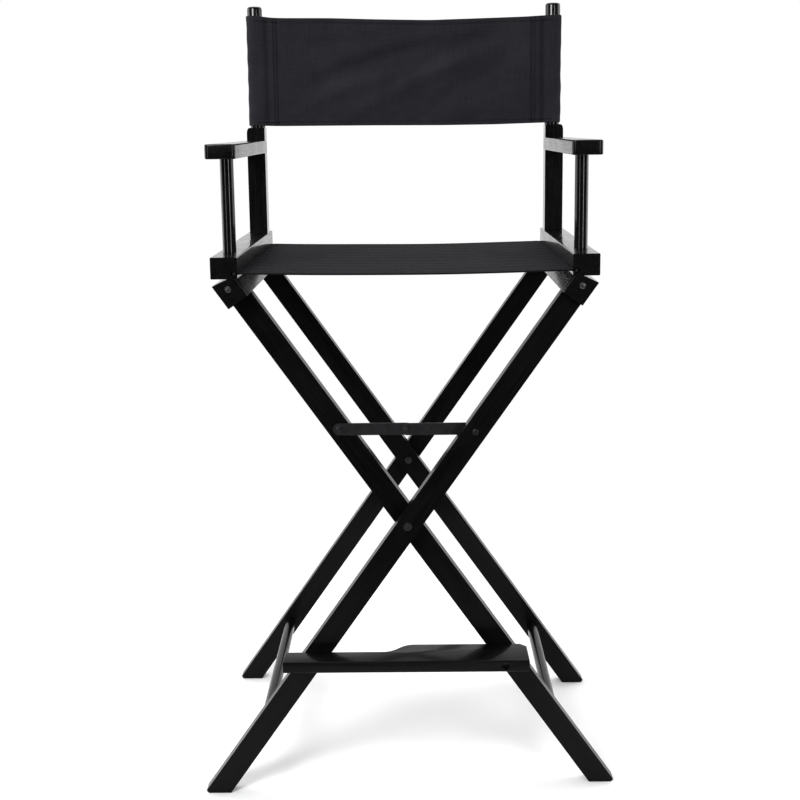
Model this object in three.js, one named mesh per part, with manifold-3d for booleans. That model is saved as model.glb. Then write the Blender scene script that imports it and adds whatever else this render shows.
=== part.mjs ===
// Tall folding director chair: two crossed leg frames, two seat sides, a locking stay,
// a footrest and canvas seat and back. Millimetres, +Z up, front of the chair towards -Y.
import * as THREE from "three";
import { mergeVertices } from "three/addons/utils/BufferGeometryUtils.js";
import Module from "manifold-3d";

const wasm = await Module();
wasm.setup();

// ---- Driving dimensions ----------------------------------------------------------------
const OVERALL_HEIGHT = 1168;
const GAP = 0.3; // left between pieces that touch
const DEPTH = 436; // front to back, along the seat rails

const LEG_ANGLE = THREE.MathUtils.degToRad(55); // from the floor, chair open
const CROSSING_HEIGHT = 410;
const LEG_WIDTH = 32;
const LEG_THICKNESS = 20;
const LEG_GAP = 5; // between the outer and the inner leg, for the stay
const OUTER_LEG_SETBACK = 16; // outer leg behind the top bar's end
const FOOT_CHAMFER = 5;
const TENON_LENGTH = 10;
const TENON_THICKNESS = 10;
const TENON_WIDTH = 22;

const RAIL_BOTTOM = 771;
const RAIL_HEIGHT = 30;
const RAIL_WIDTH = 37;
const RAIL_EDGE = 1.5; // rounding of the long edges
const RAIL_INNER = 229.5; // half the clear width between the seat rails
const HINGE_DROP = 14; // pin below the seat rail's underside
const BAR_FOOT = 22.5; // pin to the bar's lower face, along the leg
const BAR_CLEARANCE = 0.8; // bar's top below the seat rail
const SIDE_TURN = THREE.MathUtils.degToRad(26); // each side turns this far on its leg frame

const PIN_RADIUS = 2.6;
const PIN_LENGTH = 30;
const PIN_HEAD_RADIUS = 4.5;
const PIN_DOME = 1.6; // height of the pin's head
const BAR_ARC_STEPS = 5;
const EYE_RADIUS = 8;
const EYE_THICKNESS = 3;
const EYE_SHANK = 6;
const EYE_SHANK_OFFSET = 1; // shank outboard of the pin, clear of the rail's groove
const EYE_DEPTH = 16; // shank inside the seat rail
const EYE_SETBACK = 15.5; // centre of the eye behind the rail's end

const GROOVE_INSET = 6; // groove centre from the rail's inner face
const GROOVE_HEIGHT = 7; // groove centre above the rail's underside
const GROOVE_RADIUS = 3.8;
const SLOT_HEIGHT = 3.2;
const ROD_RADIUS = 2;
const CANVAS = 1.6; // canvas thickness
const SEAT_CANVAS_INSET = 5; // canvas edge inside the rail's ends

const FRONT_POST_SETBACK = 62;
const FRONT_POST_RADIUS = 9.5;
const FRONT_POST_X = 248;
const POST_SOCKET = 12; // how deep a post sits in its rail or armrest

const BACK_POST_INNER = 229.5;
const BACK_POST_WIDTH = 29;
const BACK_POST_DEPTH = 28;
const BACK_POST_SETBACK = 366;
const BACK_POST_TOP_RADIUS = 12;
const BACK_POST_TENON = 16; // square tenon into the seat rail
const POST_TIP = 4; // rounding at the top of the post
const POST_TIP_STEPS = 3;
const SHOULDER_HEIGHT = 975;
const SHOULDER_RISE = 11;
const BACK_CANVAS_BOTTOM = 978;
const BACK_CANVAS_HEIGHT = 174;
const SLEEVE_EASE = 0.5; // between a post and its sleeve

const ARM_BOTTOM = 934;
const ARM_THICKNESS = 20;
const ARM_WIDTH = 42;
const ARM_INNER = 226.5;
const ARM_FRONT = -3;
const ARM_REAR_LAP = 30; // armrest runs on beside the back post
const ARM_CORNER = 6;
const ARM_EDGE = 2; // rounding of the top and bottom edges
const ARM_SCREW_RADIUS = 2;
const ARM_SCREW_LENGTH = 24;
const ARM_SCREW_HEAD = 4;
const ARM_SCREW_SINK = 2.7; // height of the countersunk head
const ARM_SCREW_RIM = 0.1; // straight rim of the head

const STAY_HALF = 97; // rivet to rivet
const STAY_WIDTH = 17.5;
const STAY_THICKNESS = 2;
const RIVET_RADIUS = 2.6;
const RIVET_HEAD_RADIUS = 4.6;
const RIVET_HEAD = 1.8;

const BOLT_RADIUS = 3;
const BOLT_HEAD_RADIUS = 6;
const BOLT_HEAD = 4; // height of a countersunk head
const HEAD_RECESS = 0.3; // countersunk heads sit this far below the wood
const NUT_RADIUS = 6.5;
const NUT_SIDES = 6;
const BOLT_END = 1.5; // bolt past its nut
const NUT_HEIGHT = 5;
const SPACER_RADIUS = 9;
const DOME_SHOULDER_RADIUS = 0.7; // a domed head's shoulder, as a share of the head's radius
const DOME_SHOULDER_HEIGHT = 0.8; // the same, as a share of the dome's height

const STRETCHER_HEIGHT = 105;
const STRETCHER_RADIUS = 9;
const STRETCHER_TENON_RADIUS = 6.5;
const STRETCHER_TENON = 10;

const FOOTREST_TOP = 221.5;
const FOOTREST_THICKNESS = 17;
const FOOTREST_LEFT = -181;
const FOOTREST_RIGHT = 172;
const FOOTREST_NARROW = 34;
const FOOTREST_STEP_START = -40;
const FOOTREST_STEP_END = 8;
const FOOTREST_CLIP = 9;
const FOOTREST_EDGE = 1.5;
const FOOTREST_COUNTERBORE = 12;
const FOOTREST_HEAD_RADIUS = 5;
const FOOTREST_HEAD_HEIGHT = 4;
const PEG_RADIUS = 4;
const PEG_REACH = 13;
const PEG_SETTING = 12; // inside the leg

// ---- Worked-out dimensions -------------------------------------------------------------
const LEAN = Math.PI / 2 - LEG_ANGLE; // leg from the vertical
const HINGE_HEIGHT = RAIL_BOTTOM - HINGE_DROP;
const HINGE_X = (HINGE_HEIGHT - CROSSING_HEIGHT) / Math.tan(LEG_ANGLE);
const RAIL_TOP = RAIL_BOTTOM + RAIL_HEIGHT;
const GROOVE_X = RAIL_INNER + GROOVE_INSET;
const GROOVE_Z = RAIL_BOTTOM + GROOVE_HEIGHT;
const ARM_TOP = ARM_BOTTOM + ARM_THICKNESS;
const ARM_MID = ARM_BOTTOM + ARM_THICKNESS / 2;
const ARM_OUTER = ARM_INNER + ARM_WIDTH;
const BACK_POST_X = BACK_POST_INNER + BACK_POST_TOP_RADIUS;
const BACK_POST_Y = BACK_POST_SETBACK + BACK_POST_DEPTH / 2;
const STAY_HEIGHT = CROSSING_HEIGHT + STAY_HALF * Math.tan(LEG_ANGLE);
const FOOTREST_MID = FOOTREST_TOP - FOOTREST_THICKNESS / 2;
const FOOTREST_BOLT_X = (CROSSING_HEIGHT - FOOTREST_MID) / Math.tan(LEG_ANGLE);
const PEG_HEIGHT = FOOTREST_TOP - FOOTREST_THICKNESS - GAP - PEG_RADIUS;

// Faces of the front legs. The rear legs mirror them.
const OUTER_FRONT_Y = OUTER_LEG_SETBACK;
const OUTER_BACK_Y = OUTER_FRONT_Y + LEG_THICKNESS;
const INNER_FRONT_Y = OUTER_BACK_Y + LEG_GAP;
const INNER_BACK_Y = INNER_FRONT_Y + LEG_THICKNESS;
const FOOTREST_BACK = OUTER_FRONT_Y - 2 * GAP;
const FOOTREST_FRONT = FOOTREST_BACK - FOOTREST_NARROW;

// The stay's left half lies against the inner leg, and its right half against the outer.
const STAY_FRONT_Y = OUTER_BACK_Y + GAP;
const STAY_REAR_Y = INNER_FRONT_Y - GAP - STAY_THICKNESS;

// Distances along a leg from the crossing.
const alongLeg = (height) => (height - CROSSING_HEIGHT) / Math.sin(LEG_ANGLE);
const HINGE_REACH = alongLeg(HINGE_HEIGHT);
const LEG_TOP = HINGE_REACH - BAR_FOOT;
const STAY_REACH = alongLeg(STAY_HEIGHT);
const STRETCHER_Z = alongLeg(STRETCHER_HEIGHT);
const PEG_Z = alongLeg(PEG_HEIGHT);
const FOOTREST_BOLT_Z = alongLeg(FOOTREST_MID);

const ROUND = 24; // sides of a small round part
const FINE_ROUND = 36;
const ROD_SIDES = 16;
const CURVE_STEPS = 8; // segments of an outline's curve
const FOOTREST_CURVE_STEPS = 12;
const RAIL_EDGE_STEPS = 3;
const ARM_CORNER_STEPS = 5;
const BEVEL_STEPS = 3;
const WELD = 1e-4; // vertices closer than this are one
const CUT = 1; // how far a cutter reaches past a face

// ---- Materials -------------------------------------------------------------------------
const lacquer = new THREE.MeshStandardMaterial({ color: 0x141416, roughness: 0.35 });
const canvasCloth = new THREE.MeshStandardMaterial({ color: 0x28282b, roughness: 0.9 });
const steel = new THREE.MeshStandardMaterial({
  color: 0x3c3c40,
  roughness: 0.35,
  metalness: 1,
});
const brightSteel = new THREE.MeshStandardMaterial({
  color: 0x8c8c90,
  roughness: 0.3,
  metalness: 1,
});

// ---- Solids ----------------------------------------------------------------------------
// A closed geometry as a manifold solid.
function solid(geometry) {
  const bare = geometry.clone();
  bare.deleteAttribute("normal");
  bare.deleteAttribute("uv");
  const merged = mergeVertices(bare, WELD);
  return new wasm.Manifold(
    new wasm.Mesh({
      numProp: 3,
      vertProperties: merged.attributes.position.array,
      triVerts: new Uint32Array(merged.index.array),
    }),
  );
}

// A manifold solid as a three.js geometry.
function geometryOf(body) {
  const mesh = body.getMesh();
  const geometry = new THREE.BufferGeometry();
  geometry.setAttribute("position", new THREE.BufferAttribute(mesh.vertProperties, 3));
  geometry.setIndex(new THREE.BufferAttribute(mesh.triVerts, 1));
  const faceted = geometry.toNonIndexed();
  faceted.computeVertexNormals();
  return faceted;
}

// The first solid with the others joined on.
function join(first, ...others) {
  return others.reduce((sum, other) => sum.add(other), first);
}

// The first solid with the others cut away.
function cut(first, ...others) {
  return others.reduce((rest, other) => rest.subtract(other), first);
}

// A box between two corners.
function block(x0, x1, y0, y1, z0, z1) {
  const geometry = new THREE.BoxGeometry(x1 - x0, y1 - y0, z1 - z0);
  return solid(geometry.translate((x0 + x1) / 2, (y0 + y1) / 2, (z0 + z1) / 2));
}

// A shape drawn in X and Z, extruded from y0 to y1.
function extrudeAlongY(shape, y0, y1, curveSegments = CURVE_STEPS) {
  const geometry = new THREE.ExtrudeGeometry(shape, {
    depth: y1 - y0,
    bevelEnabled: false,
    curveSegments,
  });
  return solid(geometry.rotateX(Math.PI / 2).translate(0, y1, 0));
}

// A shape drawn in X and Y, extruded from z0 to z1, with edges rounded by `bevel`.
function extrudeAlongZ(shape, z0, z1, bevel = 0, curveSegments = CURVE_STEPS) {
  const geometry = new THREE.ExtrudeGeometry(shape, {
    depth: z1 - z0 - 2 * bevel,
    bevelEnabled: bevel > 0,
    bevelThickness: bevel,
    bevelSize: bevel,
    bevelOffset: -bevel,
    bevelSegments: BEVEL_STEPS,
    curveSegments,
  });
  return solid(geometry.translate(0, 0, z0 + bevel));
}

// A round bar along Y.
function roundAlongY(radius, x, z, y0, y1, sides = ROUND) {
  const geometry = new THREE.CylinderGeometry(radius, radius, y1 - y0, sides);
  return solid(geometry.translate(x, (y0 + y1) / 2, z));
}

// A round bar along Z.
function roundAlongZ(radius, x, y, z0, z1, sides = FINE_ROUND) {
  const geometry = new THREE.CylinderGeometry(radius, radius, z1 - z0, sides);
  return solid(geometry.rotateX(Math.PI / 2).translate(x, y, (z0 + z1) / 2));
}

// A round bar along X.
function roundAlongX(radius, y, z, x0, x1, sides = ROUND) {
  const geometry = new THREE.CylinderGeometry(radius, radius, x1 - x0, sides);
  return solid(geometry.rotateZ(Math.PI / 2).translate((x0 + x1) / 2, y, z));
}

// A turned part from [radius, height] points, its axis laid along Y, point heights as y.
function turnedAlongY(profile, x, z, sides = ROUND) {
  const points = profile.map(([radius, y]) => new THREE.Vector2(radius, y));
  return solid(new THREE.LatheGeometry(points, sides).translate(x, 0, z));
}

// A turned part from [radius, height] points, standing at a place on the floor plan.
function turnedAlongZ(profile, x, y, sides = FINE_ROUND) {
  const points = profile.map(([radius, z]) => new THREE.Vector2(radius, z));
  return solid(new THREE.LatheGeometry(points, sides).rotateX(Math.PI / 2).translate(x, y, 0));
}

// A turned part from [radius, x] points, its axis along X.
function turnedAlongX(profile, y, z, sides = ROUND) {
  const points = profile.map(([radius, x]) => new THREE.Vector2(radius, x));
  return solid(new THREE.LatheGeometry(points, sides).rotateZ(-Math.PI / 2).translate(0, y, z));
}

// A closed outline through the points.
function outline(points) {
  return new THREE.Shape(points.map(([x, y]) => new THREE.Vector2(x, y)));
}

// A rectangle with rounded corners.
function roundedRectangle(x0, x1, y0, y1, radius) {
  const shape = new THREE.Shape();
  shape.moveTo(x0 + radius, y0);
  shape.lineTo(x1 - radius, y0);
  shape.absarc(x1 - radius, y0 + radius, radius, -Math.PI / 2, 0);
  shape.lineTo(x1, y1 - radius);
  shape.absarc(x1 - radius, y1 - radius, radius, 0, Math.PI / 2);
  shape.lineTo(x0 + radius, y1);
  shape.absarc(x0 + radius, y1 - radius, radius, Math.PI / 2, Math.PI);
  shape.lineTo(x0, y0 + radius);
  shape.absarc(x0 + radius, y0 + radius, radius, Math.PI, 1.5 * Math.PI);
  return shape;
}

function piece(name, body, material) {
  const mesh = new THREE.Mesh(geometryOf(body), material);
  mesh.name = name;
  return mesh;
}

// ---- Leg frames ------------------------------------------------------------------------
// A leg frame is drawn with its origin at the crossing and its legs along local Z. The
// outer frame (side 1) leans right at the top, and the inner frame (side -1) leans left.
function legFrameGroup(side) {
  const group = new THREE.Group();
  group.position.set(0, 0, CROSSING_HEIGHT);
  group.rotation.y = side * LEAN;
  return group;
}

// A place mirrored to the rear of the chair when `end` is 1.
function fromEnd(end, y) {
  return end ? DEPTH - y : y;
}

// A turned part whose profile is given from the front, set at the front or the rear end.
function turnedAtEnd(end, profile, x, z, sides = ROUND) {
  const placed = profile.map(([radius, y]) => [radius, fromEnd(end, y)]);
  if (end) placed.reverse();
  return turnedAlongY(placed, x, z, sides);
}

// A round bar given from the front, set at the front or the rear end.
function roundAtEnd(end, radius, x, z, y0, y1, sides = ROUND) {
  const ys = [fromEnd(end, y0), fromEnd(end, y1)].sort((a, b) => a - b);
  return roundAlongY(radius, x, z, ys[0], ys[1], sides);
}

// A leg with a level foot, a chamfered toe and a tenon for the top bar. y0 is its front.
function leg(side, y0) {
  const half = LEG_WIDTH / 2;
  const lean = side * LEAN;
  const top = LEG_TOP - GAP;
  const floorAt = (x) => (x * Math.sin(lean) - CROSSING_HEIGHT) / Math.cos(lean);
  const toe = -side * half;
  const toeIn = toe + side * FOOT_CHAMFER;
  const profile = outline([
    [toe, floorAt(toe) + FOOT_CHAMFER],
    [toeIn, floorAt(toeIn)],
    [-toe, floorAt(-toe)],
    [-toe, top],
    [toe, top],
  ]);
  const mid = y0 + LEG_THICKNESS / 2;
  const tenon = block(
    -TENON_WIDTH / 2,
    TENON_WIDTH / 2,
    mid - TENON_THICKNESS / 2,
    mid + TENON_THICKNESS / 2,
    top - CUT,
    LEG_TOP + TENON_LENGTH - GAP,
  );
  const bore = roundAlongY(BOLT_RADIUS + GAP, 0, 0, y0 - CUT, y0 + LEG_THICKNESS + CUT);
  return cut(join(extrudeAlongY(profile, y0, y0 + LEG_THICKNESS), tenon), bore);
}

// The outline of the square bar on top of a leg frame. It is level under the seat rail,
// with an arc and a slope on the outer side that clear the rail as the frame folds.
function topBarOutline(side) {
  const half = LEG_WIDTH / 2;
  const clear = HINGE_DROP - BAR_CLEARANCE;
  const heightAt = (x, tilt) => (clear + x * Math.sin(tilt)) / Math.cos(tilt);
  const points = [
    [-half, -BAR_FOOT],
    [half, -BAR_FOOT],
    [half, heightAt(half, LEAN - SIDE_TURN)],
  ];
  for (let i = 0; i <= BAR_ARC_STEPS; i += 1) {
    const angle = Math.PI / 2 + LEAN - SIDE_TURN * (1 - i / BAR_ARC_STEPS);
    points.push([clear * Math.cos(angle), clear * Math.sin(angle)]);
  }
  points.push([-half, heightAt(-half, LEAN)]);
  return outline(points.map(([x, z]) => [side * x, HINGE_REACH + z]));
}

function topBar(side, legFront) {
  let body = extrudeAlongY(topBarOutline(side), 0, DEPTH);
  for (const end of [0, 1]) {
    const mid = fromEnd(end, legFront + LEG_THICKNESS / 2);
    const mortise = block(
      -TENON_WIDTH / 2 - GAP,
      TENON_WIDTH / 2 + GAP,
      mid - TENON_THICKNESS / 2 - GAP,
      mid + TENON_THICKNESS / 2 + GAP,
      LEG_TOP - CUT,
      LEG_TOP + TENON_LENGTH + GAP,
    );
    const kerfHalf = EYE_THICKNESS / 2 + 2 * GAP;
    const kerf = block(
      -LEG_WIDTH,
      LEG_WIDTH,
      fromEnd(end, EYE_SETBACK) - kerfHalf,
      fromEnd(end, EYE_SETBACK) + kerfHalf,
      HINGE_REACH - EYE_RADIUS - 3 * GAP,
      HINGE_REACH + LEG_WIDTH,
    );
    const bore = roundAtEnd(end, PIN_RADIUS + GAP, 0, HINGE_REACH, -CUT, PIN_LENGTH + GAP);
    body = cut(body, mortise, kerf, bore);
  }
  return body;
}

// A hinge pin with a domed head, driven in from the end of the top bar.
function hingePin(end) {
  const profile = [
    [0, -GAP - PIN_DOME],
    [DOME_SHOULDER_RADIUS * PIN_HEAD_RADIUS, -GAP - DOME_SHOULDER_HEIGHT * PIN_DOME],
    [PIN_HEAD_RADIUS, -GAP],
    [PIN_RADIUS, -GAP],
    [PIN_RADIUS, PIN_LENGTH],
    [0, PIN_LENGTH],
  ];
  return turnedAtEnd(end, profile, 0, HINGE_REACH);
}

// A round stretcher between two faces, with a thinner tenon into each leg.
function stretcher(y0, y1) {
  const tenon0 = y0 - STRETCHER_TENON;
  const tenon1 = y1 + STRETCHER_TENON;
  return join(
    roundAlongY(STRETCHER_RADIUS, 0, STRETCHER_Z, y0 + GAP, y1 - GAP, FINE_ROUND),
    roundAlongY(STRETCHER_TENON_RADIUS, 0, STRETCHER_Z, tenon0, tenon1),
  );
}

// The socket for a stretcher's tenon, behind `face` at the front or mirrored at the rear.
function stretcherSocket(end, face) {
  const bottom = face - STRETCHER_TENON - GAP;
  const radius = STRETCHER_TENON_RADIUS + GAP;
  return roundAtEnd(end, radius, 0, STRETCHER_Z, bottom, face + CUT);
}

// A rivet along Y with a domed head off `face` and a shank that ends at `tail`.
function rivet(face, tail, x, z) {
  const away = Math.sign(face - tail);
  const shoulder = GAP + DOME_SHOULDER_HEIGHT * RIVET_HEAD;
  const profile = [
    [0, face + away * (GAP + RIVET_HEAD)],
    [DOME_SHOULDER_RADIUS * RIVET_HEAD_RADIUS, face + away * shoulder],
    [RIVET_HEAD_RADIUS, face + away * GAP],
    [RIVET_RADIUS, face + away * GAP],
    [RIVET_RADIUS, tail],
    [0, tail],
  ];
  if (away > 0) profile.reverse();
  return turnedAlongY(profile, x, z);
}

// The cross bolt: a countersunk head in the outer leg, a nut on the inner leg's far side.
function crossBolt(end) {
  const head = OUTER_FRONT_Y + HEAD_RECESS;
  const profile = [
    [0, head],
    [BOLT_HEAD_RADIUS, head],
    [BOLT_RADIUS, head + BOLT_HEAD],
    [BOLT_RADIUS, INNER_BACK_Y + GAP + NUT_HEIGHT + BOLT_END],
    [0, INNER_BACK_Y + GAP + NUT_HEIGHT + BOLT_END],
  ];
  return turnedAtEnd(end, profile, 0, 0);
}

function countersink(end) {
  const radius = BOLT_HEAD_RADIUS + GAP;
  const profile = [
    [0, OUTER_FRONT_Y - CUT],
    [radius, OUTER_FRONT_Y - CUT],
    [radius, OUTER_FRONT_Y + HEAD_RECESS],
    [BOLT_RADIUS, OUTER_FRONT_Y + HEAD_RECESS + BOLT_HEAD + 2 * GAP],
    [0, OUTER_FRONT_Y + HEAD_RECESS + BOLT_HEAD + 2 * GAP],
  ];
  return turnedAtEnd(end, profile, 0, 0);
}

// A hexagon nut on the inner leg's far side, at a place along the leg.
function nut(end, z) {
  const y0 = INNER_BACK_Y + GAP;
  return cut(
    roundAtEnd(end, NUT_RADIUS, 0, z, y0, y0 + NUT_HEIGHT, NUT_SIDES),
    roundAtEnd(end, BOLT_RADIUS + GAP, 0, z, y0 - CUT, y0 + NUT_HEIGHT + CUT),
  );
}

function crossSpacer(end) {
  const y0 = OUTER_BACK_Y + GAP;
  const y1 = INNER_FRONT_Y - GAP;
  return cut(
    roundAtEnd(end, SPACER_RADIUS, 0, 0, y0, y1),
    roundAtEnd(end, BOLT_RADIUS + GAP, 0, 0, y0 - CUT, y1 + CUT),
  );
}

function outerFrame() {
  const group = legFrameGroup(1);
  const pegFront = OUTER_FRONT_Y - PEG_REACH;
  const pegBack = OUTER_FRONT_Y + PEG_SETTING;
  const frontLeg = cut(
    leg(1, OUTER_FRONT_Y),
    countersink(0),
    stretcherSocket(0, OUTER_BACK_Y),
    roundAlongY(RIVET_RADIUS + GAP, 0, STAY_REACH, OUTER_FRONT_Y - CUT, OUTER_BACK_Y + CUT),
    roundAlongY(PEG_RADIUS + GAP, 0, PEG_Z, pegFront, pegBack + GAP),
  );
  const rearLeg = cut(
    leg(1, DEPTH - OUTER_BACK_Y),
    countersink(1),
    stretcherSocket(1, OUTER_BACK_Y),
  );
  const stayRivet = rivet(OUTER_FRONT_Y, STAY_FRONT_Y + STAY_THICKNESS, 0, STAY_REACH);
  group.add(
    piece("outer_front_leg", frontLeg, lacquer),
    piece("outer_rear_leg", rearLeg, lacquer),
    piece("outer_top_bar", topBar(1, OUTER_FRONT_Y), lacquer),
    piece("outer_stretcher", stretcher(OUTER_BACK_Y, DEPTH - OUTER_BACK_Y), lacquer),
    piece("stay_right_rivet", stayRivet, steel),
    piece("footrest_peg", roundAlongY(PEG_RADIUS, 0, PEG_Z, pegFront, pegBack), steel),
  );
  ["front", "rear"].forEach((place, end) => {
    group.add(
      piece(`right_${place}_hinge_pin`, hingePin(end), brightSteel),
      piece(`${place}_cross_bolt`, crossBolt(end), steel),
      piece(`${place}_cross_spacer`, crossSpacer(end), steel),
      piece(`${place}_cross_nut`, nut(end, 0), steel),
    );
  });
  return group;
}

function innerFrame() {
  const group = legFrameGroup(-1);
  const frontLeg = cut(
    leg(-1, INNER_FRONT_Y),
    stretcherSocket(0, INNER_BACK_Y),
    roundAlongY(RIVET_RADIUS + GAP, 0, STAY_REACH, INNER_FRONT_Y - CUT, INNER_BACK_Y + CUT),
    roundAlongY(BOLT_RADIUS + GAP, 0, FOOTREST_BOLT_Z, INNER_FRONT_Y - CUT, INNER_BACK_Y + CUT),
  );
  const rearLeg = cut(leg(-1, DEPTH - INNER_BACK_Y), stretcherSocket(1, INNER_BACK_Y));
  group.add(
    piece("inner_front_leg", frontLeg, lacquer),
    piece("inner_rear_leg", rearLeg, lacquer),
    piece("inner_top_bar", topBar(-1, INNER_FRONT_Y), lacquer),
    piece("inner_stretcher", stretcher(INNER_BACK_Y, DEPTH - INNER_BACK_Y), lacquer),
    piece("stay_left_rivet", rivet(STAY_REAR_Y, INNER_BACK_Y, 0, STAY_REACH), steel),
    piece("left_front_hinge_pin", hingePin(0), brightSteel),
    piece("left_rear_hinge_pin", hingePin(1), brightSteel),
    piece("footrest_bolt", footrestBolt(), steel),
    piece("footrest_nut", nut(0, FOOTREST_BOLT_Z), steel),
  );
  return group;
}

// ---- Footrest --------------------------------------------------------------------------
function footrestBolt() {
  const head = FOOTREST_FRONT + FOOTREST_COUNTERBORE - FOOTREST_HEAD_HEIGHT;
  const tail = INNER_BACK_Y + GAP + NUT_HEIGHT + BOLT_END;
  const profile = [
    [0, head],
    [FOOTREST_HEAD_RADIUS, head],
    [FOOTREST_HEAD_RADIUS, head + FOOTREST_HEAD_HEIGHT - GAP],
    [BOLT_RADIUS, head + FOOTREST_HEAD_HEIGHT - GAP],
    [BOLT_RADIUS, tail],
    [0, tail],
  ];
  return turnedAlongY(profile, 0, FOOTREST_BOLT_Z);
}

// A plank in front of the legs: narrow where it passes the outer leg, then stepping back
// in an S-curve to meet the inner leg.
function footrestPlank() {
  const wide = INNER_FRONT_Y - 2 * GAP;
  const middle = (FOOTREST_STEP_START + FOOTREST_STEP_END) / 2;
  const shape = new THREE.Shape();
  shape.moveTo(FOOTREST_LEFT, FOOTREST_FRONT);
  shape.lineTo(FOOTREST_RIGHT, FOOTREST_FRONT);
  shape.lineTo(FOOTREST_RIGHT, wide - FOOTREST_CLIP);
  shape.lineTo(FOOTREST_RIGHT - FOOTREST_CLIP, wide);
  shape.lineTo(FOOTREST_STEP_END, wide);
  shape.bezierCurveTo(
    middle,
    wide,
    middle,
    FOOTREST_BACK,
    FOOTREST_STEP_START,
    FOOTREST_BACK,
  );
  shape.lineTo(FOOTREST_LEFT, FOOTREST_BACK);
  const bottom = FOOTREST_TOP - FOOTREST_THICKNESS;
  const seat = FOOTREST_FRONT + FOOTREST_COUNTERBORE;
  const boltHole = BOLT_RADIUS + GAP;
  const headHole = FOOTREST_HEAD_RADIUS + GAP;
  return cut(
    extrudeAlongZ(shape, bottom, FOOTREST_TOP, FOOTREST_EDGE, FOOTREST_CURVE_STEPS),
    roundAlongY(boltHole, FOOTREST_BOLT_X, FOOTREST_MID, FOOTREST_FRONT, wide + CUT),
    roundAlongY(headHole, FOOTREST_BOLT_X, FOOTREST_MID, FOOTREST_FRONT - CUT, seat),
  );
}

// ---- Locking stay ----------------------------------------------------------------------
// One flat half, from its leg rivet (side 1 right, -1 left) to the centre rivet.
function stayHalf(side, y0) {
  const end = side * STAY_HALF;
  const radius = STAY_WIDTH / 2;
  const half = extrudeAlongY(
    roundedRectangle(
      Math.min(0, end) - radius,
      Math.max(0, end) + radius,
      STAY_HEIGHT - radius,
      STAY_HEIGHT + radius,
      radius,
    ),
    y0,
    y0 + STAY_THICKNESS,
  );
  const hole = (x) =>
    roundAlongY(RIVET_RADIUS + GAP, x, STAY_HEIGHT, y0 - CUT, y0 + STAY_THICKNESS + CUT);
  return cut(half, hole(0), hole(end));
}

function stay() {
  const group = new THREE.Group();
  const frontBack = STAY_FRONT_Y + STAY_THICKNESS;
  const rearBack = STAY_REAR_Y + STAY_THICKNESS;
  group.add(
    piece("stay_right_half", stayHalf(1, STAY_FRONT_Y), steel),
    piece("stay_left_half", stayHalf(-1, STAY_REAR_Y), steel),
    piece("stay_centre_rivet_front", rivet(STAY_FRONT_Y, frontBack, 0, STAY_HEIGHT), steel),
    piece("stay_centre_rivet_rear", rivet(rearBack, STAY_REAR_Y, 0, STAY_HEIGHT), steel),
  );
  return group;
}

// ---- Seat sides ------------------------------------------------------------------------
// Everything here is drawn for the right side, and the left side is its mirror.
function seatRail() {
  const outer = RAIL_INNER + RAIL_WIDTH;
  const section = roundedRectangle(RAIL_INNER, outer, RAIL_BOTTOM, RAIL_TOP, RAIL_EDGE);
  let body = cut(
    extrudeAlongY(section, 0, DEPTH, RAIL_EDGE_STEPS),
    roundAlongY(GROOVE_RADIUS, GROOVE_X, GROOVE_Z, -CUT, DEPTH + CUT),
    block(
      RAIL_INNER - CUT,
      GROOVE_X,
      -CUT,
      DEPTH + CUT,
      GROOVE_Z - SLOT_HEIGHT / 2,
      GROOVE_Z + SLOT_HEIGHT / 2,
    ),
    roundAlongZ(
      FRONT_POST_RADIUS + GAP,
      FRONT_POST_X,
      FRONT_POST_SETBACK,
      RAIL_TOP - POST_SOCKET - GAP,
      RAIL_TOP + CUT,
    ),
    backPostTenon(GAP, RAIL_TOP + CUT),
  );
  for (const end of [0, 1]) {
    body = cut(body, eyeShank(end, GAP, RAIL_BOTTOM - CUT));
  }
  return body;
}

// The back post's tenon up to a height, or with `grow` the mortise that takes it.
function backPostTenon(grow, top) {
  const half = BACK_POST_TENON / 2 + grow;
  const x = BACK_POST_INNER + BACK_POST_WIDTH / 2;
  const bottom = RAIL_TOP - POST_SOCKET - grow;
  return block(x - half, x + half, BACK_POST_Y - half, BACK_POST_Y + half, bottom, top);
}

// The hinge eye's shank from a height up into the rail, or with `grow` its socket.
function eyeShank(end, grow, bottom) {
  const x = HINGE_X + EYE_SHANK_OFFSET;
  const y = fromEnd(end, EYE_SETBACK);
  const halfX = EYE_SHANK / 2 + grow;
  const halfY = EYE_THICKNESS / 2 + grow;
  const top = RAIL_BOTTOM + EYE_DEPTH + grow;
  return block(x - halfX, x + halfX, y - halfY, y + halfY, bottom, top);
}

function hingeEye(end) {
  const y0 = fromEnd(end, EYE_SETBACK) - EYE_THICKNESS / 2;
  const y1 = y0 + EYE_THICKNESS;
  return cut(
    join(
      roundAlongY(EYE_RADIUS, HINGE_X, HINGE_HEIGHT, y0, y1),
      eyeShank(end, 0, HINGE_HEIGHT),
    ),
    roundAlongY(PIN_RADIUS + GAP, HINGE_X, HINGE_HEIGHT, y0 - CUT, y1 + CUT),
  );
}

function frontPost() {
  return roundAlongZ(
    FRONT_POST_RADIUS,
    FRONT_POST_X,
    FRONT_POST_SETBACK,
    RAIL_TOP - POST_SOCKET,
    ARM_BOTTOM + POST_SOCKET,
  );
}

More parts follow.
